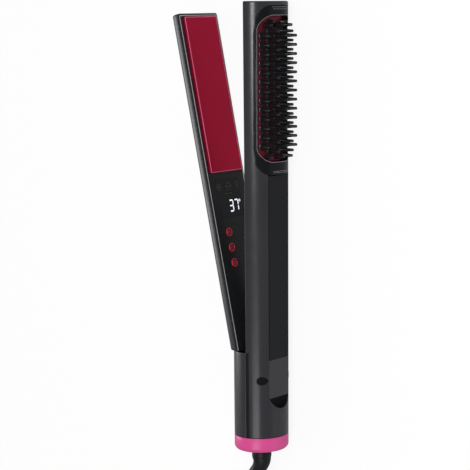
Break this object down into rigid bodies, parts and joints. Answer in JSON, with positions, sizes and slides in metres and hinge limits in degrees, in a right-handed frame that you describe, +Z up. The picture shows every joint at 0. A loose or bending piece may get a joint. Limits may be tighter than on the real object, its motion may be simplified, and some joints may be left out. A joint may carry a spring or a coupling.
{
  "type": "steam hair straightener brush",
  "caption": "Steam hair straightener with a clamp arm, two floating heater plates, a pin brush on its back, a lift-out water tank and a swivel cord",
  "frame": {"origin": "middle of the tool's footprint, on the table it lies on; the cord is not counted", "axes": "+Y along the tool from the end ring to the arm tips, +X towards the brush, +Z up; the tool lies on its side, so its hinge pin is upright"},
  "size_m": [0.1156, 0.5585, 0.0411],
  "materials": {
    "aluminium": "plain cast aluminium",
    "black": "satin black plastic",
    "board": "green circuit board",
    "bristle": "heat-proof black nylon",
    "ceramic": "ceramic heater wrapped in film",
    "clear": "clear tank plastic",
    "cord_black": "black supply cord sheath",
    "fabric_black": "black hook-and-loop tape",
    "gloss_black": "gloss black plastic",
    "graphite": "satin graphite grey plastic with a fine metallic fleck",
    "grey": "satin grey plastic",
    "ivory": "heat-proof ivory plastic",
    "nickel": "nickel-plated brass",
    "pink": "gloss pink plastic",
    "red_coating": "dark red ceramic coating on aluminium, soft sheen",
    "red_plastic": "dark red translucent-looking plastic",
    "silicone": "translucent white silicone",
    "steel": "bright steel",
    "white_digit": "lit white display segments",
    "window": "gloss black tinted window"
  },
  "bodies": {
    "main": {"main_shell": "graphite", "rear_shell": "graphite", "end_ring": "pink", "chassis": "black", "thumb_notch": "black", "main_cover": "black", "bed_cover": "gloss_black", "brush_plate": "red_coating", "brush_pins": "bristle", "brush_heater": "aluminium", "steam_chamber": "aluminium", "water_socket": "silicone", "water_tube": "silicone", "pump": "black", "feed_tube": "silicone", "power_board": "board", "hinge_pin": "steel", "hinge_cap_upper": "black", "hinge_cap_lower": "black", "torsion_spring": "steel", "swivel_socket": "black", "ring_screws": "steel", "cord_lead": "cord_black", "cord_hank": "cord_black", "cord_tail": "cord_black", "cord_tie": "fabric_black", "plug_body": "cord_black", "plug_pins": "nickel"},
    "clamp": {"clamp_shell": "graphite", "clamp_cover": "black", "clamp_bracket": "steel", "bracket_screws": "steel", "display_window": "window", "display_digits": "white_digit", "display_module": "ivory", "control_board": "board", "tact_switches": "black", "plate_cradle": "ivory"},
    "clamp_plate": {"clamp_plate": "red_coating", "clamp_heater": "ceramic", "clamp_pads": "silicone"},
    "main_plate": {"main_plate": "red_coating", "main_heater": "ceramic", "main_pads": "silicone"},
    "button_top": {"button_top": "red_plastic"},
    "button_middle": {"button_middle": "red_plastic"},
    "button_bottom": {"button_bottom": "red_plastic"},
    "tank": {"tank_window": "gloss_black", "tank_foot": "grey", "tank_body": "clear", "tank_valve": "black", "tank_plug": "silicone"},
    "swivel": {"swivel_collar": "black", "cord_guard": "black"}
  },
  "joints": [
    {"name": "clamp_hinge", "type": "hinge", "parent": "main", "child": "clamp", "pos_m": [0.03191, -0.1005, 0.02059], "axis": [0, 0, -1], "range_deg": [0, 12], "stiffness_Nm_per_rad": 1, "springref_deg": -17.19},
    {"name": "clamp_plate_float", "type": "slide", "parent": "clamp", "child": "clamp_plate", "axis": [-0.9781, -0.2079, 0], "range_m": [0, 0.0006], "stiffness_N_per_m": 8000, "springref_m": -0.0003},
    {"name": "main_plate_float", "type": "slide", "parent": "main", "child": "main_plate", "axis": [1, 0, 0], "range_m": [0, 0.0006], "stiffness_N_per_m": 8000, "springref_m": -0.0003},
    {"name": "button_top_press", "type": "slide", "parent": "clamp", "child": "button_top", "axis": [-0.9781, -0.2079, 0], "range_m": [0, 0.0004], "stiffness_N_per_m": 3000, "springref_m": -0.0002},
    {"name": "button_middle_press", "type": "slide", "parent": "clamp", "child": "button_middle", "axis": [-0.9781, -0.2079, 0], "range_m": [0, 0.0004], "stiffness_N_per_m": 3000, "springref_m": -0.0002},
    {"name": "button_bottom_press", "type": "slide", "parent": "clamp", "child": "button_bottom", "axis": [-0.9781, -0.2079, 0], "range_m": [0, 0.0004], "stiffness_N_per_m": 3000, "springref_m": -0.0002},
    {"name": "tank_lift", "type": "slide", "parent": "main", "child": "tank", "axis": [1, 0, 0], "range_m": [0, 0.02]},
    {"name": "cord_swivel", "type": "hinge", "parent": "main", "child": "swivel", "pos_m": [0.02041, -0.15, 0.02059], "axis": [0, 1, 0], "continuous": true}
  ]
}
